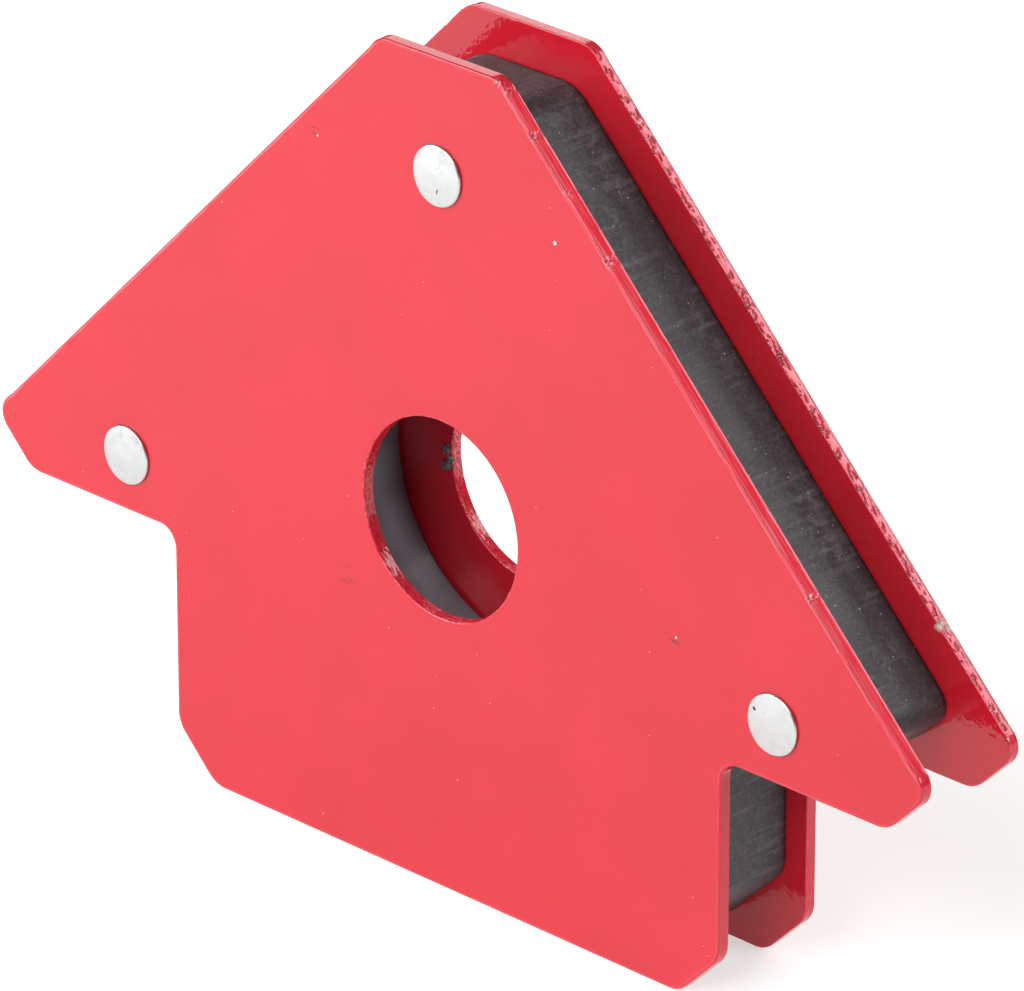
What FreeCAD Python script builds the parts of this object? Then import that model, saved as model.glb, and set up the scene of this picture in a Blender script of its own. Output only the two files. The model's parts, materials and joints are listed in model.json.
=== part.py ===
"""Arrow-shaped magnetic welding holder.

Two steel plates of one outline clamp a moulded core and a ring magnet between
them, and three rivets run right through. The edges of the plates are the
working faces: they hold work at 45, 90 and 135 degrees.

Frame: millimetres. +Z is up and the arrow points up, X runs left to right and
Y runs through the thickness, with the front plate towards -Y. The origin is on
the base line, half way along it and half way through the thickness.
"""
import os
import FreeCAD, Part
from math import sin, sqrt, tan
from FreeCAD import Vector

# ---- driving dimensions, mm ------------------------------------------------
width_over_tips = 120.0      # from barb tip to barb tip, before they are rounded
working_apex_height = 90.0   # where the two 45 degree working edges would meet
overall_height = 82.4        # to the small flat across the apex
barb_underside_height = 25.0
barb_cut = 5.0               # 45 degree cut below each barb tip
body_width = 70.4
body_chamfer = 5.0           # 45 degree cut at each corner of the base

plate_thickness = 1.3        # sheet steel with its powder coat
plate_gap = 10.2             # from plate to plate, filled by the magnet
plate_edge_radius = 0.3      # rounding of the coated rims
tip_radius = 2.2             # outline radius at the barb tips
corner_radius = 3.0          # outline radius at the blunt corners
notch_radius = 2.0           # outline radius in the corner under each barb

hole_height = 37.3           # centre of the big hole and of the magnet
hole_radius = 9.8
hole_rim_radius = 0.2

magnet_outer_radius = 30.0
magnet_bore_radius = 16.5
magnet_edge_radius = 0.5
magnet_clearance = 0.2       # radial, between the magnet and its pocket

core_edge_inset = 4.0        # square to each working edge
core_apex_inset = 4.2        # from the apex flat
core_side_inset = 2.6        # from the body's sides and the barbs' undersides
core_base_inset = 2.0
core_tip_line = 20.5         # the tip cut lies on |X| - Z = core_tip_line
core_base_cut_line = 23.5    # the base cut lies on |X| - Z = core_base_cut_line
core_corner_radius = 3.0
core_apex_radius = 4.5       # at the two corners under the apex
core_tip_radius = 2.0        # where a working edge meets the tip cut

rivet_shank_radius = 1.5
rivet_hole_clearance = 0.1   # radial
rivet_head_radius = 2.95
rivet_head_height = 0.65
rivet_rim_height = 0.35      # straight wall round the edge of each head
top_rivet_height = 71.1
side_rivet_offset = 41.5
side_rivet_height = 30.8

# ---- sizes worked out from them ---------------------------------------------
tip_x = width_over_tips / 2
tip_height = working_apex_height - tip_x
apex_half_width = working_apex_height - overall_height
body_x = body_width / 2
plate_inner_y = plate_gap / 2
plate_outer_y = plate_inner_y + plate_thickness
root_two = sqrt(2)

rivet_places = {
    "rivet_top": (0.0, top_rivet_height),
    "rivet_left": (-side_rivet_offset, side_rivet_height),
    "rivet_right": (side_rivet_offset, side_rivet_height),
}


def mirrored(right_half):
    """Corners (x, z, radius) of the right half, base first, and their mirror images."""
    left_half = [(-x, z, radius) for x, z, radius in reversed(right_half)]
    return right_half + left_half


def rounded_outline(corners, y):
    """Closed wire at depth y through the corners, each turned by a tangent arc."""
    points = [Vector(x, y, z) for x, z, _ in corners]
    starts, middles, ends = [], [], []
    for i, (_, _, radius) in enumerate(corners):
        corner = points[i]
        back = (points[i - 1] - corner).normalize()
        ahead = (points[(i + 1) % len(points)] - corner).normalize()
        bisector = (back + ahead).normalize()
        half_angle = back.getAngle(ahead) / 2
        along = radius / tan(half_angle)
        to_middle = radius / sin(half_angle) - radius
        starts.append(corner + back * along)
        middles.append(corner + bisector * to_middle)
        ends.append(corner + ahead * along)
    edges = []
    for i in range(len(points)):
        edges.append(Part.Arc(starts[i], middles[i], ends[i]).toShape())
        following = starts[(i + 1) % len(points)]
        edges.append(Part.LineSegment(ends[i], following).toShape())
    return Part.Wire(edges)


def slab(corners, low_y, high_y):
    """Solid of the outline's shape between two depths."""
    face = Part.Face(rounded_outline(corners, low_y))
    return face.extrude(Vector(0, high_y - low_y, 0))


def rod(radius, low_y, high_y, x, z):
    """Round bar along Y."""
    return Part.makeCylinder(radius, high_y - low_y, Vector(x, low_y, z), Vector(0, 1, 0))


def rim_edges(solid, low_y, high_y, wanted):
    """Edges that lie in either end plane and for which wanted(edge) holds."""
    found = []
    for edge in solid.Edges:
        box = edge.BoundBox
        flat = box.YLength < 1e-6
        at_end = min(abs(box.YMin - low_y), abs(box.YMin - high_y)) < 1e-6
        if flat and at_end and wanted(edge):
            found.append(edge)
    return found


def is_hole_rim(edge):
    """True on a rim of the big hole."""
    circle = isinstance(edge.Curve, Part.Circle)
    return circle and abs(edge.Curve.Radius - hole_radius) < 1e-6


def is_rivet_rim(edge):
    """True on a rim of a rivet hole."""
    circle = isinstance(edge.Curve, Part.Circle)
    return circle and edge.Curve.Radius < rivet_shank_radius + 2 * rivet_hole_clearance


def plate_corners():
    """Outline of either plate."""
    return mirrored([
        (body_x - body_chamfer, 0.0, corner_radius),
        (body_x, body_chamfer, corner_radius),
        (body_x, barb_underside_height, notch_radius),
        (tip_x - barb_cut, barb_underside_height, corner_radius),
        (tip_x, tip_height, tip_radius),
        (apex_half_width, overall_height, corner_radius),
    ])


def make_plate(low_y):
    """Coated plate with its big hole and its three rivet holes."""
    high_y = low_y + plate_thickness
    plate = slab(plate_corners(), low_y, high_y)
    plate = plate.cut(rod(hole_radius, low_y, high_y, 0, hole_height))
    for x, z in rivet_places.values():
        plate = plate.cut(rod(rivet_shank_radius + rivet_hole_clearance, low_y, high_y, x, z))
    outer = rim_edges(plate, low_y, high_y, lambda e: not is_hole_rim(e) and not is_rivet_rim(e))
    plate = plate.makeFillet(plate_edge_radius, outer)
    return plate.makeFillet(hole_rim_radius, rim_edges(plate, low_y, high_y, is_hole_rim))


def make_core():
    """Moulded filler with a round pocket for the magnet and three rivet holes."""
    side_x = body_x - core_side_inset
    underside = barb_underside_height + core_side_inset
    top = overall_height - core_apex_inset
    leg_line = working_apex_height - core_edge_inset * root_two
    tip_core_x = (leg_line + core_tip_line) / 2
    corners = mirrored([
        (core_base_inset + core_base_cut_line, core_base_inset, core_corner_radius),
        (side_x, side_x - core_base_cut_line, core_corner_radius),
        (side_x, underside, notch_radius),
        (underside + core_tip_line, underside, core_corner_radius),
        (tip_core_x, leg_line - tip_core_x, core_tip_radius),
        (leg_line - top, top, core_apex_radius),
    ])
    core = slab(corners, -plate_inner_y, plate_inner_y)
    pocket_radius = magnet_outer_radius + magnet_clearance
    core = core.cut(rod(pocket_radius, -plate_inner_y, plate_inner_y, 0, hole_height))
    hole = rivet_shank_radius + 2 * rivet_hole_clearance
    for x, z in rivet_places.values():
        core = core.cut(rod(hole, -plate_inner_y, plate_inner_y, x, z))
    return core


def make_magnet():
    """Flat ferrite ring, magnetised through its thickness."""
    ring = rod(magnet_outer_radius, -plate_inner_y, plate_inner_y, 0, hole_height)
    ring = ring.cut(rod(magnet_bore_radius, -plate_inner_y, plate_inner_y, 0, hole_height))
    rims = rim_edges(ring, -plate_inner_y, plate_inner_y, lambda e: isinstance(e.Curve, Part.Circle))
    return ring.makeChamfer(magnet_edge_radius, rims)


def make_rivet(x, z):
    """Shank with a low domed head on the front plate and a formed one on the back plate."""
    head, shank = rivet_head_radius, rivet_shank_radius
    rim_y = plate_outer_y + rivet_rim_height
    crown_y = plate_outer_y + rivet_head_height
    dome_rise = crown_y - rim_y
    dome_radius = (head ** 2 + dome_rise ** 2) / (2 * dome_rise)
    half_way_y = crown_y - dome_radius + sqrt(dome_radius ** 2 - (head / 2) ** 2)

    def line(start, end):
        return Part.LineSegment(Vector(*start), Vector(*end)).toShape()

    def dome(side):
        crown = Vector(0, side * crown_y)
        half_way = Vector(head / 2, side * half_way_y)
        rim = Vector(head, side * rim_y)
        return Part.Arc(crown, half_way, rim).toShape()

    profile = Part.Wire([
        dome(-1),
        line((head, -rim_y), (head, -plate_outer_y)),
        line((head, -plate_outer_y), (shank, -plate_outer_y)),
        line((shank, -plate_outer_y), (shank, plate_outer_y)),
        line((shank, plate_outer_y), (head, plate_outer_y)),
        line((head, plate_outer_y), (head, rim_y)),
        dome(1),
        line((0, crown_y), (0, -crown_y)),
    ])
    rivet = Part.Face(profile).revolve(Vector(0, 0, 0), Vector(0, 1, 0), 360)
    rivet.translate(Vector(x, 0, z))
    return rivet


nodes = {
    "front_plate": make_plate(-plate_outer_y),
    "back_plate": make_plate(plate_inner_y),
    "core_spacer": make_core(),
    "ring_magnet": make_magnet(),
}
for name, (rivet_x, rivet_z) in rivet_places.items():
    nodes[name] = make_rivet(rivet_x, rivet_z)

os.makedirs("parts", exist_ok=True)
for name, shape in nodes.items():
    solid = shape.Solids[0]
    assert len(shape.Solids) == 1 and solid.isValid(), name
    solid.exportStep("parts/" + name + ".step")
    box = solid.optimalBoundingBox()
    print(f"{name}: volume {solid.Volume:.0f} mm3, x {box.XMin:.2f}..{box.XMax:.2f}, "
          f"y {box.YMin:.2f}..{box.YMax:.2f}, z {box.ZMin:.2f}..{box.ZMax:.2f}")
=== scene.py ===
"""Looks of the arrow-shaped magnetic welding holder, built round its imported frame.

Everything is in metres in the part's own frame: +Z up, the front plate towards
-Y, and the origin on the base line. The plates, the core, the magnet and the
rivets are rebuilt here as fine meshes of the same size, with sheared and
painted edges, and take the place of the plain nodes. A few iron filings cling
to the back plate's hole.
"""
import json
import random
from collections import namedtuple
from math import atan2, cos, exp, hypot, pi, radians, sin

import bmesh
import bpy
import numpy as np
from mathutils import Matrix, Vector, noise


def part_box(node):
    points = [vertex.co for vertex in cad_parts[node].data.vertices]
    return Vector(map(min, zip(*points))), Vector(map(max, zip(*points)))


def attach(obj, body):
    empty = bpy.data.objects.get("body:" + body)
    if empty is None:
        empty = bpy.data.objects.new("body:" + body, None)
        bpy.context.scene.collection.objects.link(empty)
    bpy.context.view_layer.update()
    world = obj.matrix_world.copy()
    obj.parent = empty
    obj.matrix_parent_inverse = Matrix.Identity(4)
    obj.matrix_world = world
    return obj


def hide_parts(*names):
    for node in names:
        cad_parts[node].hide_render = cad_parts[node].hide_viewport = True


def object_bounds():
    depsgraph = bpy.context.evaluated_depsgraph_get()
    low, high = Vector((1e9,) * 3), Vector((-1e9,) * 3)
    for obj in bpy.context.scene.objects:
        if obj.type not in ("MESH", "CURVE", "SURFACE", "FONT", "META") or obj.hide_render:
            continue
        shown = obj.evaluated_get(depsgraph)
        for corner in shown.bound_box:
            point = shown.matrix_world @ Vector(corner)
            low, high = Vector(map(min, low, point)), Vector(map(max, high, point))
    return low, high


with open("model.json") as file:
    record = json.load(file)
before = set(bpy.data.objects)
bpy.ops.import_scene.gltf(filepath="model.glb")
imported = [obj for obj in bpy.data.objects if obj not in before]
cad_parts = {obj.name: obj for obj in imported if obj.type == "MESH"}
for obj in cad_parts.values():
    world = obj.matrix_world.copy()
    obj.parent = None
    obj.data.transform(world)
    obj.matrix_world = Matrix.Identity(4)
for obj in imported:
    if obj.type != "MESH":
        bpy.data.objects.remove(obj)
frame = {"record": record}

cad_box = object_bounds()

MM = 0.001
record = frame["record"]
mounts = {mount["name"]: mount for mount in record["mounts"]}

# ---- sizes -------------------------------------------------------------------
BLUNT_RADIUS = 3.0 * MM      # outline radius at the 135 degree corners
TIP_RADIUS = 2.2 * MM        # at the barb tips
NOTCH_RADIUS = 2.0 * MM      # in the corners under the barbs
OUTER_ARRIS = 0.20 * MM      # rounding of the rim on a plate's outer side
INNER_ARRIS = 0.13 * MM      # and on the side next to the core
LIP_START = 0.70 * MM        # how far in the rim's relief starts, on the outer side
FACE_MARGIN = 0.95 * MM      # flat ring kept between a rim and the filled face
PLATE_HOLE_MARGIN = 0.2 * MM  # and round a rivet's hole

CORE_SIDE_INSET = 2.6 * MM
CORE_EDGE_INSET = 4.0 * MM
CORE_TIP_LINE = 20.5 * MM    # the tip cut lies on |X| - Z = CORE_TIP_LINE
CORE_BASE_LINE = 23.5 * MM   # the base cut lies on |X| - Z = CORE_BASE_LINE
CORE_TOP_RADIUS = 4.5 * MM   # at the corners under the apex
CORE_TIP_RADIUS = 2.0 * MM   # where the legs meet the tip cuts
CORE_RADIUS = 3.0 * MM       # at the other corners
POCKET_CLEARANCE = 0.2 * MM
CORE_RING_MARGIN = 1.2 * MM  # flat ring kept between the core's edges and its filled sides
CORE_HOLE_MARGIN = 0.3 * MM  # and round its holes

MAGNET_BORE_RADIUS = 16.5 * MM
MAGNET_EASE = 0.5 * MM       # rounding of the ring's rims
MAGNET_SEGMENTS = 240

RIVETS = ("rivet_top", "rivet_left", "rivet_right")
RIVET_SHANK_RADIUS = 1.5 * MM
RIVET_HOLE_RADIUS = 1.6 * MM
RIVET_WALL = 0.30 * MM       # straight wall round the edge of a rivet's head
RIVET_ARRIS = 0.20 * MM      # rounding between that wall and the dome
RIVET_SEGMENTS = 96
BACK_HEAD_SHARE = 0.95       # how wide a rivet's back head is, beside its front head

FLOOR_RADIUS = 4.0

# ---- spacing of points ---------------------------------------------------------
FINE_STEP = 0.10 * MM        # along the plates' sheared working edges
PLAIN_STEP = 0.30 * MM       # along their smooth ones
ARC_STEP = 0.2 * MM          # round the corners of an outline
HOLE_STEP = 0.15 * MM
RIVET_HOLE_STEP = 0.3 * MM
CORE_STEP = 0.5 * MM
POCKET_STEP = 0.8 * MM
MERGE_DISTANCE = 1e-7        # points closer than this are one

# ---- wear and painted light, in mm where no unit is given ----------------------------
# A sheared rim falls back by the taper at its outer side, is pitted past the clean cut,
# takes a painted highlight all over by the tint, from 0 to 1, and has a line of painted shade at a depth.
Shear = namedtuple("Shear", "taper pitting tint line")
FRONT_SHEAR = Shear(taper=0.24, pitting=0.004, tint=0.05, line=0.10)
BACK_SHEAR = Shear(taper=0.13, pitting=0.10, tint=0.12, line=0.30)
SMOOTH_EDGE = 0.15           # how rough the other edges are, beside the working edges
HOLE_EDGE = 0.6              # and the holes' walls
FRONT_HOLE_HIGHLIGHT = 0.232  # how strong the painted highlight on the raised grains of the big hole's wall is, from 0 to 1
BACK_HOLE_HIGHLIGHT = 0.52
FRONT_RIPPLE = 0.002 * MM    # height of the coat's ripple
BACK_RIPPLE = 0.022 * MM

# Places on a plate, as (x, z, reach).
FRONT_NICKS = [
    (7.6, 82.3, 0.40),
    (8.6, 81.6, 0.30),
    (11.8, 78.3, 0.38),
    (16.4, 74.4, 0.55),
    (21.0, 68.9, 0.42),
    (45.8, 44.5, 0.35),
]
BACK_NICKS = [(-7.9, 82.0, 0.6), (30.4, 59.6, 0.5)]
BACK_SCRAPE = (50.0, 38.7, 1.4)
FACE_SPECKS = [(14.5, 68.8, 0.20), (-15.4, 70.6, 0.12), (29.6, 35.3, 0.13)]
FACE_SCUFFS = [(-16.0, 71.0, 1.1), (-12.1, 27.8, 1.5), (29.2, 34.9, 1.2)]

# Places from the middle of a rivet, as (rivet, x, z, reach).
RIVET_NICKS = [
    ("rivet_top", 0.45, -1.15, 0.09),
    ("rivet_top", 0.38, -1.30, 0.10),
    ("rivet_top", 0.32, -1.48, 0.09),
    ("rivet_right", -2.0, 1.07, 0.17),
    ("rivet_right", -1.85, 1.0, 0.15),
]

# Places from the middle of the big hole, as (x, z, reach, number of grains).
FILINGS = [(-10.5, 0.1, 0.55, 60), (-10.3, -1.4, 0.65, 80), (-9.9, -0.7, 0.4, 30)]

# ---- colours, as linear red, green and blue -----------------------------------------
COAT_DEEP = (0.49, 0.009, 0.021)
COAT_BRIGHT = (0.53, 0.010, 0.024)
COAT_SCUFF = (0.13, 0.003, 0.008)
COAT_SPECK = (0.80, 0.70, 0.66)
COAT_DUST = (0.75, 0.60, 0.55)
RIM_RED = (0.68, 0.014, 0.032)
# painted highlight along the plates' rims, also the pale chips of the knocks
RIM_HIGHLIGHT_AND_CHIPS = (0.95, 0.27, 0.33)
# painted shade along the plates' rims, also the dark marks of the knocks
RIM_SHADE_AND_DARK_MARKS = (0.20, 0.004, 0.011)
STEEL_DIRTY = (0.30, 0.13, 0.11)
STEEL_BARE = (0.66, 0.50, 0.46)
MOULDING_DARK = (0.023, 0.023, 0.026)
MOULDING_LIGHT = (0.120, 0.119, 0.130)
MOULDING_GRAIN = (0.14, 0.14, 0.153)
MOULDING_DUST = (0.60, 0.56, 0.50)
FERRITE_DARK = (0.150, 0.185, 0.215)
FERRITE_LIGHT = (0.195, 0.235, 0.270)
FILINGS_DARK = (0.09, 0.095, 0.10)
FILINGS_LIGHT = (0.24, 0.245, 0.25)
RIVET_DARK = (0.51, 0.53, 0.53)
RIVET_LIGHT = (0.65, 0.66, 0.65)
RIVET_STAIN = (0.34, 0.37, 0.39)
RIVET_DUST = (0.36, 0.33, 0.33)
RIVET_NICK = (0.10, 0.02, 0.03)

# ---- view ----------------------------------------------------------------------
VIEW_AZIMUTH = 44.43         # degrees to the right of straight ahead
VIEW_ELEVATION = 24.41
VIEW_DISTANCE = 0.7934
VIEW_LENS = 306.1            # mm, on a 36 mm wide sensor
VIEW_AIM = Vector((2.43, 0.52, 38.27)) * MM

# ---- lights ----------------------------------------------------------------------
# Name, azimuth and elevation in degrees, distance, width and height in metres, power in watts.
# Azimuth is measured from +Y towards +X, so that 180 is straight in front of the part.
LIGHTS = [
    ("front_left_light", -137, 24, 0.65, 0.42, 0.38, 3.6),
    ("front_top_light", 180, 48, 1.5, 0.85, 0.85, 9.6),
    ("front_low_light", 180, 20, 1.5, 0.85, 0.85, 2.8),
    ("front_right_light", 155, 35, 1.5, 0.30, 0.30, 3.2),
    ("back_light", 26, 34, 1.5, 0.65, 0.50, 4.8),
    ("right_light", 72, 31, 1.5, 0.50, 0.50, 8.0),
    ("backdrop_light", -44, 24, 1.6, 1.0, 0.6, 3.8),
]
WORLD_STRENGTH = 0.08

SLANT = 0.5 ** 0.5
# Of these marks, one holds painted highlight with the pale chips of the knocks, and one painted shade with
# their dark marks.
MARKS = ("bare", "highlight_and_chips", "shade_and_dark_marks", "rim")   # amounts kept on the vertices for the coat's colours
Loop = namedtuple("Loop", "points normals run rough")
Spot = namedtuple("Spot", "x z run rough inset depth thickness")


# ---- outlines --------------------------------------------------------------------
def mount_side(name, corner_radius):
    """Side of an outline in the plane of a flat mount, with the radius of the corner after it."""
    mount = mounts[name]
    normal = np.array([mount["axis"][0], mount["axis"][2]])
    place = np.array([mount["pos_m"][0], mount["pos_m"][2]])
    return name, normal, float(normal @ place), corner_radius


def plate_sides():
    """The plates' sides, anticlockwise seen from the front, from the base."""
    order = [
        ("base_edge", BLUNT_RADIUS),
        ("base_cut_right", BLUNT_RADIUS),
        ("body_side_right", NOTCH_RADIUS),
        ("barb_underside_right", BLUNT_RADIUS),
        ("barb_cut_right", TIP_RADIUS),
        ("leg_edge_right", BLUNT_RADIUS),
        ("apex_edge", BLUNT_RADIUS),
        ("leg_edge_left", TIP_RADIUS),
        ("barb_cut_left", BLUNT_RADIUS),
        ("barb_underside_left", NOTCH_RADIUS),
        ("body_side_left", BLUNT_RADIUS),
        ("base_cut_left", BLUNT_RADIUS),
    ]
    return [mount_side(name, radius) for name, radius in order]


def core_sides():
    """The core's sides in the same order, set in from the plates'."""
    low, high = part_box("core_spacer")
    body_x = mounts["body_side_right"]["pos_m"][0] - CORE_SIDE_INSET
    underside_z = mounts["barb_underside_right"]["pos_m"][2] + CORE_SIDE_INSET
    leg_side = mount_side("leg_edge_right", 0)
    leg_offset = leg_side[2] - CORE_EDGE_INSET
    right = [
        ("base_cut", (SLANT, -SLANT), CORE_BASE_LINE * SLANT, CORE_RADIUS),
        ("body", (1, 0), body_x, NOTCH_RADIUS),
        ("underside", (0, -1), -underside_z, CORE_RADIUS),
        ("tip", (SLANT, -SLANT), CORE_TIP_LINE * SLANT, CORE_TIP_RADIUS),
        ("leg", (SLANT, SLANT), leg_offset, CORE_TOP_RADIUS),
    ]
    radii_after_left = [CORE_TIP_RADIUS, CORE_RADIUS, NOTCH_RADIUS, CORE_RADIUS, CORE_RADIUS]
    left = [
        (name, (-normal[0], normal[1]), offset, radius)
        for (name, normal, offset, _), radius in zip(reversed(right), radii_after_left)
    ]
    base = ("base", (0, -1), -low.z, CORE_RADIUS)
    top = ("top", (0, 1), high.z, CORE_TOP_RADIUS)
    return [(n, np.array(v, float), d, r) for n, v, d, r in [base, *right, top, *left]]


def rounded_loop(sides, step_of):
    """Loop along straight sides whose corners are turned by arcs.

    A side is (name, outward normal, distance of its line from the origin, radius
    of the corner that follows), anticlockwise.
    """
    arcs = []
    for (_, normal, offset, radius), (_, after, after_offset, _) in zip(sides, sides[1:] + sides[:1]):
        turn = atan2(normal[0] * after[1] - normal[1] * after[0], float(normal @ after))
        sign = 1 if turn > 0 else -1
        lines = np.array([normal, after])
        centre = np.linalg.solve(lines, [offset - sign * radius, after_offset - sign * radius])
        arcs.append((centre, sign * radius, atan2(normal[1], normal[0]), turn))

    points, normals, names = [], [], []
    for i, (name, normal, _, _) in enumerate(sides):
        before_centre, before_radius, _, _ = arcs[i - 1]
        centre, radius, angle, turn = arcs[i]
        start = before_centre + before_radius * normal
        end = centre + radius * normal
        count = max(2, round(float(np.linalg.norm(end - start)) / step_of(name)))
        for k in range(count):
            points.append(start + (end - start) * k / count)
            normals.append(normal)
            names.append(name)
        count = max(8, round(abs(radius * turn) / ARC_STEP))
        for k in range(count):
            a = angle + turn * k / count
            direction = np.array([cos(a), sin(a)])
            points.append(centre + radius * direction)
            normals.append(direction)
            names.append("corner")
    points = np.array(points)
    gaps = np.linalg.norm(np.roll(points, -1, 0) - points, axis=1)
    run = np.concatenate([[0], np.cumsum(gaps)[:-1]])
    return Loop(points, np.array(normals), run, roughened(names))


def roughened(names):
    """How rough the rim is at each point: the sheared working edges, easing off past their ends."""
    rough = np.array([1.0 if name.startswith("leg") else SMOOTH_EDGE for name in names])
    reach = 8   # points
    return np.mean([np.roll(rough, shift) for shift in range(-reach, reach + 1)], axis=0)


def hole_loop(centre_x, centre_z, radius, step):
    """Loop round a hole, whose normals point into the hole."""
    count = max(24, round(2 * pi * radius / step))
    angles = -np.arange(count) * 2 * pi / count
    direction = np.stack([np.cos(angles), np.sin(angles)], axis=1)
    points = np.array([centre_x, centre_z]) + radius * direction
    run = np.arange(count) * 2 * pi * radius / count
    return Loop(points, -direction, run, np.full(count, HOLE_EDGE))


# ---- meshes ------------------------------------------------------------------------
def finish_mesh(bm, name, material, node):
    """Object of a bmesh, smooth, riding on the one body in place of a node, if it has one."""
    bmesh.ops.remove_doubles(bm, verts=bm.verts, dist=MERGE_DISTANCE)
    bmesh.ops.recalc_face_normals(bm, faces=bm.faces)
    mesh = bpy.data.meshes.new(name)
    bm.to_mesh(mesh)
    bm.free()
    mesh.polygons.foreach_set("use_smooth", [True] * len(mesh.polygons))
    mesh.materials.append(material)
    piece = bpy.data.objects.new(name, mesh)
    bpy.context.scene.collection.objects.link(piece)
    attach(piece, "root")
    if node:
        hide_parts(node)


def add_skirt(bm, loop, section, low_y, high_y, outer_low, relief):
    """Rings of quads round a loop, across the thickness. Returns the first and last rings' edges.

    section lists (inset, depth, hold): depth runs from the outer side, and hold
    says how much of the relief a point takes.
    """
    layers = {key: bm.verts.layers.float[key] for key in MARKS}
    rows = []
    for inset, depth, hold in section:
        row = []
        for i in range(len(loop.points)):
            inward, down, marks = relief(loop, i, inset, depth) if hold else (0.0, 0.0, {})
            x, z = loop.points[i] - loop.normals[i] * (inset + hold * inward)
            lowered = depth + down
            y = low_y + lowered if outer_low else high_y - lowered
            vertex = bm.verts.new((x, y, z))
            for key, amount in marks.items():
                vertex[layers[key]] = amount
            row.append(vertex)
        rows.append(row)
    count = len(loop.points)
    for row, after in zip(rows, rows[1:]):
        for i in range(count):
            j = (i + 1) % count
            bm.faces.new((row[i], row[j], after[j], after[i]))
    ends = []
    for row in (rows[0], rows[-1]):
        ends.append([bm.edges.get((row[i], row[(i + 1) % count])) for i in range(count)])
    return ends


def slab_mesh(skirts, low_y, high_y, outer_low):
    """Closed slab of several skirts (loop, section, relief), with both of its faces filled."""
    bm = bmesh.new()
    for key in MARKS:
        bm.verts.layers.float.new(key)
    first_edges, last_edges = [], []
    for loop, section, relief in skirts:
        first, last = add_skirt(bm, loop, section, low_y, high_y, outer_low, relief)
        first_edges += first
        last_edges += last
    for edges in (first_edges, last_edges):
        bmesh.ops.triangle_fill(bm, use_beauty=True, use_dissolve=False, edges=edges)
    return bm


def plain_section(thickness, margin):
    """Section of a square rim: flat, wall, flat."""
    return [(margin, 0, 0), (0, 0, 0), (0, thickness, 0), (margin, thickness, 0)]


def rim_section(thickness):
    """Section of a coated sheet's rim: flat, lip, rounded arris, wall, rounded arris, flat."""
    lip_steps = 12
    arc_steps = 6
    wall_steps = 12
    section = [(FACE_MARGIN, 0.0, 0.0)]
    for k in range(lip_steps):
        share = k / lip_steps
        section.append((LIP_START + (OUTER_ARRIS - LIP_START) * share, 0.0, share + 0.01))
    for k in range(arc_steps + 1):
        a = k / arc_steps * pi / 2
        section.append((OUTER_ARRIS * (1 - sin(a)), OUTER_ARRIS * (1 - cos(a)), 1.0))
    wall = thickness - OUTER_ARRIS - INNER_ARRIS
    for k in range(1, wall_steps):
        section.append((0.0, OUTER_ARRIS + wall * k / wall_steps, 1.0))
    for k in range(arc_steps + 1):
        a = (1 - k / arc_steps) * pi / 2
        section.append((INNER_ARRIS * (1 - sin(a)), thickness - INNER_ARRIS * (1 - cos(a)), 1.0))
    inner_lip = 0.4 * MM
    section += [(inner_lip, thickness, 0.3), (FACE_MARGIN, thickness, 0.0)]
    return section


def lathe_mesh(profile, centre, segments, closed=False, shake=None):
    """Surface of revolution about an axis along Y. profile lists (radius, y)."""
    bm = bmesh.new()
    rows = []
    for radius, y in profile:
        if radius < MERGE_DISTANCE:
            rows.append([bm.verts.new((centre.x, y, centre.z))])
            continue
        row = []
        for i in range(segments):
            a = 2 * pi * i / segments
            point = Vector((centre.x + radius * cos(a), y, centre.z + radius * sin(a)))
            row.append(bm.verts.new(shake(point) if shake else point))
        rows.append(row)
    pairs = list(zip(rows, rows[1:]))
    if closed:
        pairs.append((rows[-1], rows[0]))
    for row, after in pairs:
        for i in range(segments):
            j = (i + 1) % segments
            if len(row) == 1:
                bm.faces.new((row[0], after[i], after[j]))
            elif len(after) == 1:
                bm.faces.new((row[i], after[0], row[j]))
            else:
                bm.faces.new((row[i], row[j], after[j], after[i]))
    return bm


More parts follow.
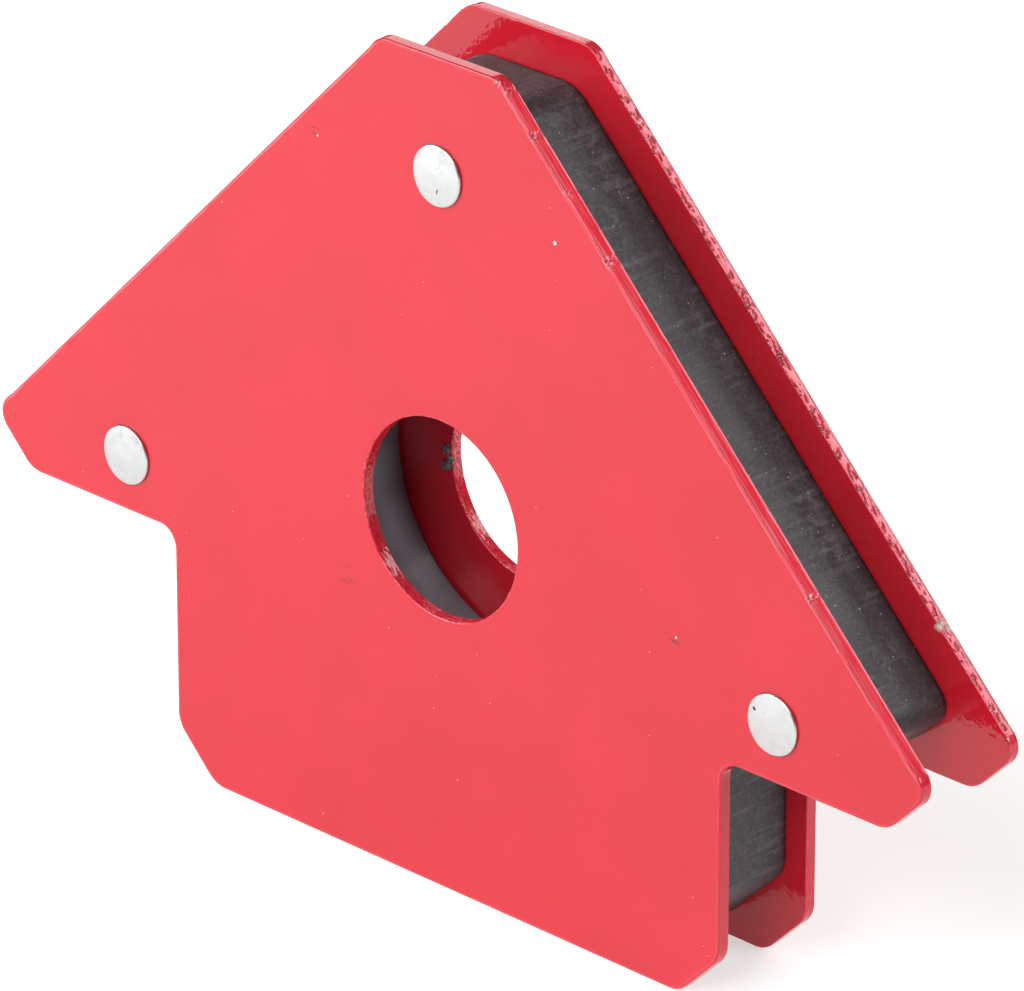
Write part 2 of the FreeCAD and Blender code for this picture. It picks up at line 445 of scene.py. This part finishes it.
# ---- materials ------------------------------------------------------------------------
class Shader:
    """Small builder for one node material, whose coordinates are the part's own."""

    def __init__(self, name):
        self.material = bpy.data.materials.new(name)
        self.material.use_nodes = True
        self.nodes = self.material.node_tree.nodes
        self.links = self.material.node_tree.links
        self.surface = self.nodes["Principled BSDF"]
        self.coords = self.nodes.new("ShaderNodeTexCoord").outputs["Object"]

    def node(self, kind, inputs=None, **settings):
        made = self.nodes.new(kind)
        for key, value in settings.items():
            setattr(made, key, value)
        for key, value in (inputs or {}).items():
            self.put(made.inputs[key], value)
        return made

    def put(self, socket, value):
        if isinstance(value, bpy.types.NodeSocket):
            self.links.new(value, socket)
        else:
            socket.default_value = value

    def set(self, **values):
        for key, value in values.items():
            self.put(self.surface.inputs[key.replace("_", " ")], value)

    def stretched(self, scale, turn=(0, 0, 0), shift=(0, 0, 0)):
        inputs = {"Vector": self.coords, "Scale": scale, "Rotation": turn, "Location": shift}
        return self.node("ShaderNodeMapping", inputs).outputs["Vector"]

    def noise(self, scale, detail=2.0, roughness=0.5, vector=None, distortion=0.0):
        inputs = {
            "Vector": vector or self.coords,
            "Scale": scale,
            "Detail": detail,
            "Roughness": roughness,
            "Distortion": distortion,
        }
        return self.node("ShaderNodeTexNoise", inputs).outputs["Fac"]

    def ramp(self, value, low, high, to_low=0.0, to_high=1.0):
        inputs = {
            "Value": value,
            "From Min": low,
            "From Max": high,
            "To Min": to_low,
            "To Max": to_high,
        }
        made = self.node("ShaderNodeMapRange", inputs, clamp=True, interpolation_type="SMOOTHSTEP")
        return made.outputs["Result"]

    def math(self, operation, a, b=0.0):
        made = self.node("ShaderNodeMath", operation=operation)
        self.put(made.inputs[0], a)
        self.put(made.inputs[1], b)
        return made.outputs[0]

    def mix(self, factor, a, b):
        made = self.node("ShaderNodeMix", data_type="RGBA")
        self.put(made.inputs["Factor"], factor)
        for key, value in (("A", a), ("B", b)):
            socket = [s for s in made.inputs if s.name == key and s.type == "RGBA"][0]
            self.put(socket, value if isinstance(value, bpy.types.NodeSocket) else (*value, 1.0))
        return [s for s in made.outputs if s.type == "RGBA"][0]

    def mark(self, key):
        """Amount of a mark kept on the mesh's vertices."""
        return self.node("ShaderNodeAttribute", attribute_name=key).outputs["Fac"]

    def near(self, x, z, reach, sharp=False):
        """1 at a place on the faces, given in mm, falling to 0 at reach mm from it."""
        inputs = {"Vector": self.coords, "Scale": (1, 0, 1), "Location": (-x * MM, 0, -z * MM)}
        moved = self.node("ShaderNodeMapping", inputs).outputs["Vector"]
        away = self.node("ShaderNodeVectorMath", operation="LENGTH")
        self.put(away.inputs[0], moved)
        start = 0.8 if sharp else 0.2
        return self.ramp(away.outputs["Value"], start * reach * MM, reach * MM, 1.0, 0.0)

    def dust(self, scale, keep_above, reach):
        """Small round specks in a few of the cells of a Voronoi pattern."""
        cells = self.node("ShaderNodeTexVoronoi", {"Vector": self.coords, "Scale": scale})
        pick = self.node("ShaderNodeSeparateColor")
        self.put(pick.inputs[0], cells.outputs["Color"])
        chosen = self.math("GREATER_THAN", pick.outputs[0], keep_above)
        size = self.math("MULTIPLY", pick.outputs[1], reach)
        inside = self.math("LESS_THAN", cells.outputs["Distance"], size)
        return self.math("MULTIPLY", chosen, inside)

    def bump(self, height, distance, strength=1.0, normal=None):
        inputs = {"Height": height, "Distance": distance, "Strength": strength}
        if normal:
            inputs["Normal"] = normal
        return self.node("ShaderNodeBump", inputs).outputs["Normal"]


def blemished_red(shader, specks, scuffs):
    """The coat's red, a little clouded, with scuffs, specks and dust."""
    cloud = shader.noise(90.0, detail=3.0)
    colour = shader.mix(shader.ramp(cloud, 0.3, 0.7), COAT_DEEP, COAT_BRIGHT)
    thread = shader.noise(1.0, detail=4.0, vector=shader.stretched((700, 700, 2600), (0, 0.6, 0)))
    threads = shader.ramp(thread, 0.50, 0.58)
    for x, z, reach in scuffs:
        near = shader.math("MULTIPLY", shader.near(x, z, reach), threads)
        colour = shader.mix(shader.math("MULTIPLY", near, 0.7), colour, COAT_SCUFF)
    for x, z, reach in specks:
        colour = shader.mix(shader.near(x, z, reach, sharp=True), colour, COAT_SPECK)
    dust = shader.dust(3600.0, 0.998, 0.30)
    return shader.mix(shader.math("MULTIPLY", dust, 0.38), colour, COAT_DUST)


def coat_normal(shader, rim, ripple):
    """Orange peel, a finer ripple, a fine grain, and a rougher grain on the rims."""
    torn = shader.noise(2200.0, detail=3.0, roughness=0.6)
    normal = shader.bump(shader.noise(430.0, detail=1.5), 0.000022)
    normal = shader.bump(shader.noise(1500.0, detail=1.0), ripple, normal=normal)
    normal = shader.bump(shader.noise(3000.0, detail=2.0), 0.0000016, normal=normal)
    return shader.bump(shader.math("MULTIPLY", torn, rim), 0.000009, normal=normal)


def coat_material(name, ripple, specks=(), scuffs=()):
    """Glossy red powder coat, with its rims' marks, painted highlight and painted shade among them. ripple
    is the height of its ripple in metres.
    """
    shader = Shader(name)
    rim = shader.mark("rim")
    worn = shader.ramp(shader.mark("bare"), 0.35, 0.6)
    colour = shader.mix(rim, blemished_red(shader, specks, scuffs), RIM_RED)
    # painted highlight on the rims, and the pale chips of the knocks
    colour = shader.mix(shader.mark("highlight_and_chips"), colour, RIM_HIGHLIGHT_AND_CHIPS)
    # painted shade on the rims, and the dark marks of the knocks
    colour = shader.mix(shader.mark("shade_and_dark_marks"), colour, RIM_SHADE_AND_DARK_MARKS)
    bright = shader.ramp(shader.noise(2600.0, detail=2.0), 0.35, 0.65)
    colour = shader.mix(worn, colour, shader.mix(bright, STEEL_DIRTY, STEEL_BARE))
    smooth = shader.ramp(shader.noise(260.0), 0.3, 0.7, 0.055, 0.085)
    rough = shader.math("ADD", smooth, shader.math("MULTIPLY", rim, 0.06))
    rough = shader.math("MAXIMUM", rough, shader.math("MULTIPLY", worn, 0.45))
    shader.set(Base_Color=colour, Roughness=rough, IOR=1.5, Normal=coat_normal(shader, rim, ripple))
    return shader.material


def moulding_marks(shader, patch, across, height, wrinkles):
    """How light the moulding is: wisps along its slopes, fading low down as painted shade, bands across
    its edges, wrinkles near the top with a painted highlight, and fibres.
    """
    slope = (0, radians(45), 0)
    along = shader.noise(1.0, detail=4.0, vector=shader.stretched((230, 900, 1500), slope), distortion=0.6)
    wisps = shader.math("MULTIPLY", shader.ramp(along, 0.42, 0.72), shader.ramp(patch, 0.42, 0.68))
    # painted shade: the wisps are kept dim towards the bottom of the core
    wisps = shader.math("MULTIPLY", wisps, shader.ramp(height, 22 * MM, 30 * MM, 0.15, 0.75))
    bands = shader.math("MULTIPLY", shader.ramp(across, 0.50, 0.72), shader.ramp(patch, 0.35, 0.55))
    fibres = shader.ramp(shader.noise(2100.0, detail=5.0, roughness=0.75), 0.50, 0.72)
    light = shader.math("ADD", wisps, shader.math("MULTIPLY", bands, 0.42))
    # painted highlight on the wrinkles near the top
    light = shader.math("ADD", light, shader.ramp(wrinkles, 0.50, 0.68, 0.0, 0.30))
    return shader.math("ADD", light, shader.math("MULTIPLY", fibres, 0.30))


def core_material():
    """Charcoal moulding with wispy marks, darker towards the bottom as painted shade, wrinkled near the
    top with a painted highlight on the wrinkles, with a fine grain and specks.
    """
    shader = Shader("charcoal_moulding")
    patch = shader.noise(150.0, detail=4.0, roughness=0.6)
    across = shader.noise(1.0, detail=2.0, vector=shader.stretched((1900, 120, 1900)))
    height = shader.node("ShaderNodeSeparateXYZ", {"Vector": shader.coords}).outputs["Z"]
    creased = shader.noise(1.0, detail=4.0, vector=shader.stretched((900, 700, 1500)), distortion=1.2)
    wrinkles = shader.math("MULTIPLY", creased, shader.ramp(height, 56 * MM, 72 * MM))
    light = moulding_marks(shader, patch, across, height, wrinkles)
    colour = shader.mix(light, MOULDING_DARK, MOULDING_LIGHT)
    grain = shader.ramp(shader.noise(3300.0, detail=3.0, roughness=0.7), 0.40, 0.66)
    colour = shader.mix(shader.math("MULTIPLY", grain, 0.22), colour, MOULDING_GRAIN)
    for scale, keep_above, strength in ((3600.0, 0.965, 0.55), (6500.0, 0.94, 0.35)):
        dust = shader.dust(scale, keep_above, 0.34)
        colour = shader.mix(shader.math("MULTIPLY", dust, strength), colour, MOULDING_DUST)
    normal = shader.bump(across, 0.000010)
    normal = shader.bump(wrinkles, 0.000060, normal=normal)
    normal = shader.bump(shader.noise(1700.0, detail=4.0, roughness=0.65), 0.000016, normal=normal)
    rough = shader.ramp(patch, 0.3, 0.7, 0.40, 0.55)
    shader.set(Base_Color=colour, Roughness=rough, IOR=1.5, Normal=normal)
    return shader.material


def ferrite_material():
    """Smooth dark grey ferrite."""
    shader = Shader("ferrite")
    cloud = shader.noise(300.0, detail=4.0)
    colour = shader.mix(cloud, FERRITE_DARK, FERRITE_LIGHT)
    normal = shader.bump(shader.noise(1500.0, detail=3.0), 0.000003)
    rough = shader.ramp(cloud, 0.3, 0.7, 0.20, 0.27)
    shader.set(Base_Color=colour, Roughness=rough, IOR=1.7, Normal=normal)
    return shader.material


def filings_material():
    """Dull grey iron dust."""
    shader = Shader("iron_filings")
    cloud = shader.noise(5000.0, detail=2.0)
    colour = shader.mix(cloud, FILINGS_DARK, FILINGS_LIGHT)
    shader.set(Base_Color=colour, Metallic=0.4, Roughness=shader.ramp(cloud, 0.3, 0.7, 0.6, 0.75))
    return shader.material


def rivet_material():
    """Bright satin metal, a little mottled and stained, with a few dark nicks."""
    shader = Shader("bright_rivet_metal")
    cloud = shader.noise(900.0, detail=4.0, roughness=0.6)
    colour = shader.mix(cloud, RIVET_DARK, RIVET_LIGHT)
    stain = shader.ramp(shader.noise(420.0, detail=4.0, roughness=0.7), 0.54, 0.72)
    colour = shader.mix(shader.math("MULTIPLY", stain, 0.60), colour, RIVET_STAIN)
    dust = shader.dust(3600.0, 0.96, 0.32)
    colour = shader.mix(shader.math("MULTIPLY", dust, 0.6), colour, RIVET_DUST)
    for rivet, x, z, reach in RIVET_NICKS:
        middle = node_centre(rivet) / MM
        nick = shader.near(middle.x + x, middle.z + z, reach, sharp=True)
        colour = shader.mix(nick, colour, RIVET_NICK)
    normal = shader.bump(shader.noise(2500.0, detail=3.0), 0.000008)
    normal = shader.bump(shader.noise(700.0, detail=2.0), 0.000012, normal=normal)
    rough = shader.ramp(cloud, 0.3, 0.7, 0.26, 0.38)
    shader.set(Base_Color=colour, Metallic=1.0, Roughness=rough, Normal=normal)
    return shader.material


def floor_material():
    """Plain white that also gives off light."""
    shader = Shader("white_floor")
    shader.set(
        Base_Color=(0.62, 0.62, 0.62, 1.0),
        Roughness=0.9,
        Emission_Color=(1.0, 1.0, 1.0, 1.0),
        Emission_Strength=0.58,
    )
    return shader.material


# ---- relief of the rims -----------------------------------------------------------------
# A relief says, for a point of a rim, how far it moves inward and down, in metres, and its marks.
def bell(distance, reach):
    """1 at no distance, falling off past reach."""
    return exp(-((distance / reach) ** 2))


def smooth_step(start, end, value):
    """0 up to the start and 1 from the end, eased between. The end may be the lower number."""
    share = min(1.0, max(0.0, (value - start) / (end - start)))
    return share * share * (3 - 2 * share)


def rim_spot(loop, i, inset, depth, thickness):
    """Point of a rim in mm, with its place on the section. rough stays from 0 to 1."""
    x, z = loop.points[i] / MM
    return Spot(x, z, loop.run[i] / MM, loop.rough[i], inset / MM, depth / MM, thickness / MM)


def on_wall(spot):
    """Whether a point is between the flat sides."""
    return 0 < spot.depth < spot.thickness


def edge_noise(spot, length, seed):
    """Noise from -1 to 1 that changes along a rim, over a length in mm. Each seed has its own."""
    return noise.noise(Vector((spot.run / length, seed, 0.0)))


def wall_noise(spot, length, height, seed, slant=0.0):
    """Noise from -1 to 1 on a rim's wall, in grains of a length and a height in mm."""
    along = spot.run + slant * spot.depth
    return noise.noise(Vector((along / length, spot.depth / height, seed)))


class RimWearAndLight:
    """Wear of a plate's outline at one point: how far it moves, in mm, and its marks, painted highlight
    and painted shade among them.
    """

    def __init__(self, spot):
        self.spot = spot
        self.inward, self.down = 0.0, 0.0
        self.bare, self.highlight_and_chips, self.shade_and_dark_marks = 0.0, 0.0, 0.0
        # The painted highlight and shade lines along the rim come and go, and wander a little.
        self.clear = min(1.0, max(0.0, 0.8 + 1.3 * edge_noise(spot, 2.3, 1.7)))
        self.wander = 0.03 * edge_noise(spot, 1.9, 4.4)

    def line(self, away, width):
        """Strength of a line along the rim, away mm from the point before it wanders."""
        return self.clear * bell(away - self.wander, width)

    def shear_off(self, shear):
        """Shearing: the rim falls back at its outer side, and is torn past the clean cut."""
        spot = self.spot
        tears = wall_noise(spot, 0.75, 0.38, 3.1, slant=0.9)
        tears += 0.35 * wall_noise(spot, 0.28, 0.22, 9.7, slant=-0.5)
        cut_share = spot.depth / spot.thickness + 0.25 * edge_noise(spot, 3.0, 7.7)
        torn = smooth_step(0.30, 0.60, cut_share)
        pits = torn * smooth_step(0.07, 0.15, tears)
        streaks = wall_noise(spot, 5.0, 0.11, 5.9)
        lumps = wall_noise(spot, 1.7, 1.2, 8.4)
        taper_end = 0.8 * spot.thickness
        fallen = shear.taper * max(0.0, 1 - spot.depth / taper_end) ** 1.5
        self.inward = spot.rough * (fallen + shear.pitting * pits + 0.008 * streaks + 0.010 * lumps)
        if on_wall(spot):
            # painted highlight on the edges of the pits
            pit_highlight = torn * smooth_step(-0.10, 0.0, tears) * smooth_step(0.10, 0.04, tears)
            self.paint_wall_highlight_and_shade(shear, streaks, pits, pit_highlight)
        elif spot.depth == 0:
            self.paint_lip_highlight()

    def paint_wall_highlight_and_shade(self, shear, streaks, pits, pit_highlight):
        """Painted highlight on the wall, in lines, on its streaks and on the edges of its pits, and
        painted shade in a line and in the pits.
        """
        spot = self.spot
        highlight_depth = 1.7 * shear.line + 0.08
        inner_depth = spot.thickness - 0.08
        # a line of painted shade at the shear's line, and lines of painted highlight deeper in and at the
        # inner arris
        shade_line = self.line(spot.depth - shear.line, 0.08)
        highlight_line = self.line(spot.depth - highlight_depth, 0.07)
        highlight_line += self.clear * bell(spot.depth - inner_depth, 0.05)
        grain = smooth_step(0.05, 0.45, streaks)
        # painted highlight on the streaks and on the pits' edges, and all over by the tint
        highlight_and_chips = 0.40 * highlight_line + (0.22 + shear.tint) * grain + 5 * shear.pitting * pit_highlight
        self.highlight_and_chips = spot.rough * (shear.tint + highlight_and_chips)
        # painted shade in that line and in the pits
        self.shade_and_dark_marks = spot.rough * (0.85 * shade_line + min(0.85, 9 * shear.pitting) * pits)

    def paint_lip_highlight(self):
        """On the outer side: a bead just in from the edge, a little proud, with a painted highlight along
        it.
        """
        bead_inset = 0.27
        away = self.spot.inset - bead_inset
        self.down = -0.010 * self.spot.rough * self.line(away, 0.06)
        # painted highlight along the bead
        self.highlight_and_chips = 0.9 * self.spot.rough * self.line(away, 0.05)

    def nick(self, x, z, reach):
        """A knock at the outer edge, chipped, light on the chips and dark between them."""
        spot = self.spot
        near = bell(hypot(spot.x - x, spot.z - z), reach)
        if near <= 0.02:
            return
        grain = 0.22
        chips = noise.noise(Vector((spot.run / grain, spot.depth / grain, spot.inset / grain)))
        self.inward += near * (0.06 + 0.10 * chips)
        if spot.depth < 0.5:
            self.down += near * 0.05 * chips
        at_edge = spot.depth < 0.6 and spot.inset < 0.5
        if at_edge:
            self.highlight_and_chips += near * 1.5 * smooth_step(0.0, 0.2, chips)
            self.shade_and_dark_marks += near * smooth_step(0.0, -0.25, chips)

    def scrape(self, x, z, reach):
        """A place where the paint has flaked off the wall down to the steel."""
        spot = self.spot
        near = smooth_step(1.0, 0.6, hypot(spot.x - x, spot.z - z) / reach)
        flakes = wall_noise(spot, 0.45, 0.30, 6.6)
        if spot.depth > 0:
            self.bare = near * (0.85 + 1.1 * flakes)
        self.inward += near * (0.03 + 0.04 * flakes)
        self.shade_and_dark_marks *= 1 - near

    def marks(self):
        """Amounts of the marks, as add_skirt keeps them."""
        rim = self.spot.rough if on_wall(self.spot) else 0.0
        return {"bare": self.bare, "highlight_and_chips": min(1.0, self.highlight_and_chips), "shade_and_dark_marks": min(1.0, self.shade_and_dark_marks), "rim": rim}


def sheared_relief(thickness, shear, nicks, scrape=None):
    """Relief of a plate's outline, which is sheared, painted, knocked and scraped, with painted highlight
    and painted shade in its marks.
    """
    def relief(loop, i, inset, depth):
        wear_and_light = RimWearAndLight(rim_spot(loop, i, inset, depth, thickness))
        wear_and_light.shear_off(shear)
        for nick in nicks:
            wear_and_light.nick(*nick)
        if scrape:
            wear_and_light.scrape(*scrape)
        return wear_and_light.inward * MM, wear_and_light.down * MM, wear_and_light.marks()

    return relief


def punched_relief(thickness, highlight_strength):
    """Relief of the big hole's wall, punched and painted: fine grains, with a painted highlight on the
    raised grains in patches and painted shade in the hollows.
    """
    def relief(loop, i, inset, depth):
        spot = rim_spot(loop, i, inset, depth, thickness)
        if not on_wall(spot):
            return 0.0, 0.0, {}
        grains = wall_noise(spot, 0.30, 0.16, 2.2) + 0.6 * wall_noise(spot, 0.15, 0.12, 7.1)
        patch = smooth_step(-0.15, 0.25, wall_noise(spot, 4.0, 2.0, 1.3))
        # painted highlight on the raised grains, in patches, and painted shade in the hollows between them
        specks = smooth_step(0.05, 0.30, grains) * patch
        hollows = smooth_step(0.0, -0.3, grains)
        marks = {"highlight_and_chips": 0.04 + highlight_strength * specks, "shade_and_dark_marks": 0.5 * hollows, "rim": spot.rough}
        return (0.010 - 0.022 * grains) * MM, 0.0, marks

    return relief


def moulded_relief(loop, i, inset, depth):
    """Relief of the core's edges, which wave a little."""
    x, z = loop.points[i]
    length, height = 7 * MM, 6 * MM
    wave = noise.noise(Vector((x / length, depth / height, z / length)))
    return 0.05 * MM * wave, 0.0, {}


def no_relief(loop, i, inset, depth):
    """Smooth wall."""
    return 0.0, 0.0, {}


# ---- pieces ---------------------------------------------------------------------------
def node_centre(node):
    """Middle of a node's box."""
    low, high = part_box(node)
    return (low + high) / 2


def rivet_hole_skirts(section):
    """Smooth walls of the three holes that the rivets pass through."""
    skirts = []
    for rivet in RIVETS:
        place = node_centre(rivet)
        loop = hole_loop(place.x, place.z, RIVET_HOLE_RADIUS, RIVET_HOLE_STEP)
        skirts.append((loop, section, no_relief))
    return skirts


def build_plate(name, outer_low, material, shear, hole_highlight, nicks, scrape=None):
    """Coated plate with a sheared rim, its big hole and its rivet holes."""
    low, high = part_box(name)
    thickness = high.y - low.y
    outline = rounded_loop(plate_sides(), lambda side: FINE_STEP if side.startswith("leg") else PLAIN_STEP)
    hole = mounts["centre_hole"]
    big = hole_loop(hole["pos_m"][0], hole["pos_m"][2], hole["dims"]["r_mm"] * MM, HOLE_STEP)
    section = rim_section(thickness)
    skirts = [
        (outline, section, sheared_relief(thickness, shear, nicks, scrape)),
        (big, section, punched_relief(thickness, hole_highlight)),
        *rivet_hole_skirts(plain_section(thickness, PLATE_HOLE_MARGIN)),
    ]
    bm = slab_mesh(skirts, low.y, high.y, outer_low)
    finish_mesh(bm, name + "_coated", material, name)


def build_core(material):
    """Moulded filler, set back from the plates' edges."""
    low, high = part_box("core_spacer")
    thickness = high.y - low.y
    outline = rounded_loop(core_sides(), lambda side: CORE_STEP)
    steps = 24
    section = [(CORE_RING_MARGIN, 0.0, 0.0)]
    section += [(0.0, thickness * k / steps, 1.0) for k in range(steps + 1)]
    section.append((CORE_RING_MARGIN, thickness, 0.0))

    magnet_low, magnet_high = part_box("ring_magnet")
    middle = node_centre("ring_magnet")
    pocket_radius = (magnet_high.x - magnet_low.x) / 2 + POCKET_CLEARANCE
    pocket = hole_loop(middle.x, middle.z, pocket_radius, POCKET_STEP)
    plain = plain_section(thickness, CORE_HOLE_MARGIN)
    skirts = [(outline, section, moulded_relief), (pocket, plain, no_relief), *rivet_hole_skirts(plain)]
    bm = slab_mesh(skirts, low.y, high.y, True)
    finish_mesh(bm, "core_moulding", material, "core_spacer")


def build_magnet(material):
    """Ferrite ring with eased rims."""
    low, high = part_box("ring_magnet")
    outer = (high.x - low.x) / 2
    corners = [
        (MAGNET_BORE_RADIUS, low.y, 1, 1),
        (outer, low.y, -1, 1),
        (outer, high.y, -1, -1),
        (MAGNET_BORE_RADIUS, high.y, 1, -1),
    ]
    steps = 4
    profile = []
    for index, (radius, y, inward, up) in enumerate(corners):
        for k in range(steps + 1):
            a = k / steps * pi / 2
            if index % 2 == 1:
                a = pi / 2 - a
            eased_radius = radius + inward * MAGNET_EASE * (1 - cos(a))
            profile.append((eased_radius, y + up * MAGNET_EASE * (1 - sin(a))))
    bm = lathe_mesh(profile, node_centre("ring_magnet"), MAGNET_SEGMENTS, closed=True)
    finish_mesh(bm, "ferrite_ring", material, "ring_magnet")


def head_profile(face_y, crown_y, head_radius):
    """Rivet's head as (radius, y), from the middle of its dome out, under its edge and to the shank."""
    out = 1 if crown_y > face_y else -1
    wall = RIVET_WALL * out
    rise = crown_y - face_y - wall
    dome_radius = head_radius - RIVET_ARRIS
    dome_steps = 13
    arris_steps = 5
    tuck = 0.05 * MM
    tuck_height = 0.06 * MM
    seat_gap = 0.01 * MM
    points = []
    for k in range(dome_steps + 1):
        r = dome_radius * k / dome_steps
        points.append((r, face_y + wall + rise * (1 - (r / head_radius) ** 2)))
    dome_edge_y = points[-1][1]
    for k in range(1, arris_steps + 1):
        a = k / arris_steps * pi / 2
        points.append((dome_radius + RIVET_ARRIS * sin(a), dome_edge_y - out * RIVET_ARRIS * (1 - cos(a))))
    points.append((head_radius, face_y + out * tuck_height))
    points.append((head_radius - tuck, face_y + out * seat_gap))
    points.append((RIVET_SHANK_RADIUS, face_y))
    return points


def build_rivet(node, material, seed):
    """Solid rivet: low domed head in front, a formed head behind, neither quite round or even."""
    low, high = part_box(node)
    centre = node_centre(node)
    plate_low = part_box("front_plate")[0].y
    plate_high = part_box("back_plate")[1].y
    head_radius = (high.x - low.x) / 2
    front = head_profile(plate_low, low.y, head_radius)
    back = head_profile(plate_high, high.y, head_radius * BACK_HEAD_SHARE)

    def shake(point):
        """Moves a point of a head, in front of the front plate or behind the back one."""
        moved = point.copy()
        if abs(point.y - centre.y) <= plate_high:
            return moved
        away = hypot(point.x - centre.x, point.z - centre.z) / head_radius
        dent, lobe = 1.1 * MM, 2.5 * MM
        dents = noise.noise(Vector((point.x / dent, seed, point.z / dent)))
        side = noise.noise(Vector((point.x / lobe, seed + 5, point.z / lobe)))
        moved.x += (point.x - centre.x) * 0.012 * side * away
        moved.y += 0.02 * MM * dents
        moved.z += (point.z - centre.z) * 0.012 * side * away
        return moved

    bm = lathe_mesh(front + back[::-1], centre, RIVET_SEGMENTS, shake=shake)
    finish_mesh(bm, node + "_metal", material, node)


def add_grain(bm, rng, start):
    """Grain of iron, a small pointed lump that leans its own way."""
    lean = Vector((rng.gauss(0.1, 0.5), rng.gauss(-0.6, 0.5), rng.gauss(0, 0.5))).normalized()
    size = rng.uniform(0.10, 0.20) * MM
    turn = lean.to_track_quat("Z", "Y").to_matrix().to_4x4()
    made = bmesh.ops.create_icosphere(bm, subdivisions=1, radius=size)
    for vertex in made["verts"]:
        stretched = Vector((vertex.co.x * 0.6, vertex.co.y * 0.6, vertex.co.z * 1.5))
        vertex.co = start + turn @ (stretched * rng.uniform(0.8, 1.2))


def build_filings(material):
    """Tufts of iron filings that cling to the rim of the back plate's hole, as in use."""
    rng = random.Random(7)
    plate_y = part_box("back_plate")[0].y
    hole = mounts["centre_hole"]
    bm = bmesh.new()
    for x, z, reach, count in FILINGS:
        middle = Vector((hole["pos_m"][0] + x * MM, plate_y, hole["pos_m"][2] + z * MM))
        for _ in range(count):
            away = Vector([rng.gauss(0, 0.4) for _ in range(3)]) * reach * MM
            away.y = -abs(away.y) * 0.9
            add_grain(bm, rng, middle + away * 0.9)
    finish_mesh(bm, "filings_tuft", material, None)


def build_floor():
    """Plain white floor under the part."""
    bm = bmesh.new()
    bmesh.ops.create_circle(bm, cap_ends=True, segments=96, radius=FLOOR_RADIUS)
    mesh = bpy.data.meshes.new("floor")
    bm.to_mesh(mesh)
    bm.free()
    mesh.materials.append(floor_material())
    floor = bpy.data.objects.new("floor", mesh)
    floor.location.z = cad_box[0].z
    bpy.context.scene.collection.objects.link(floor)


# ---- view and lights -----------------------------------------------------------------
def add_light(name, azimuth, elevation, distance, width, height, power):
    """Softbox that looks at the part, seen only in reflections."""
    light = bpy.data.lights.new(name, "AREA")
    light.shape = "RECTANGLE"
    light.size = width
    light.size_y = height
    light.energy = power
    a, e = radians(azimuth), radians(elevation)
    lamp = bpy.data.objects.new(name, light)
    place = Vector((cos(e) * sin(a), cos(e) * cos(a), sin(e))) * distance
    lamp.location = VIEW_AIM + place
    lamp.rotation_euler = place.to_track_quat("Z", "Y").to_euler()
    lamp.visible_camera = False
    bpy.context.scene.collection.objects.link(lamp)


def build_lights():
    """Softboxes in front, at the right and behind the part, and a dim white world."""
    for light in LIGHTS:
        add_light(*light)
    world = bpy.data.worlds.new("studio")
    world.use_nodes = True
    world.node_tree.nodes["Background"].inputs["Color"].default_value = (1, 1, 1, 1)
    world.node_tree.nodes["Background"].inputs["Strength"].default_value = WORLD_STRENGTH
    bpy.context.scene.world = world


def build_camera():
    """Long lens at the viewing angle of the object."""
    a, e = radians(VIEW_AZIMUTH), radians(VIEW_ELEVATION)
    back = Vector((sin(a) * cos(e), -cos(a) * cos(e), sin(e)))
    data = bpy.data.cameras.new("camera")
    data.sensor_width = 36.0
    data.lens = VIEW_LENS
    data.clip_start = 0.01
    camera = bpy.data.objects.new("camera", data)
    camera.location = VIEW_AIM + back * VIEW_DISTANCE
    camera.rotation_euler = back.to_track_quat("Z", "Y").to_euler()
    bpy.context.scene.collection.objects.link(camera)
    bpy.context.scene.camera = camera


front_coat = coat_material("red_powder_coat", FRONT_RIPPLE, FACE_SPECKS, FACE_SCUFFS)
back_coat = coat_material("red_powder_coat_back", BACK_RIPPLE)
build_plate("front_plate", True, front_coat, FRONT_SHEAR, FRONT_HOLE_HIGHLIGHT, FRONT_NICKS)
build_plate("back_plate", False, back_coat, BACK_SHEAR, BACK_HOLE_HIGHLIGHT, BACK_NICKS, BACK_SCRAPE)
build_core(core_material())
build_magnet(ferrite_material())
rivet_metal = rivet_material()
for seed, rivet_node in enumerate(RIVETS):
    build_rivet(rivet_node, rivet_metal, seed * 10.0)
build_filings(filings_material())
build_floor()
build_lights()
build_camera()
bpy.context.scene.view_settings.view_transform = "Standard"
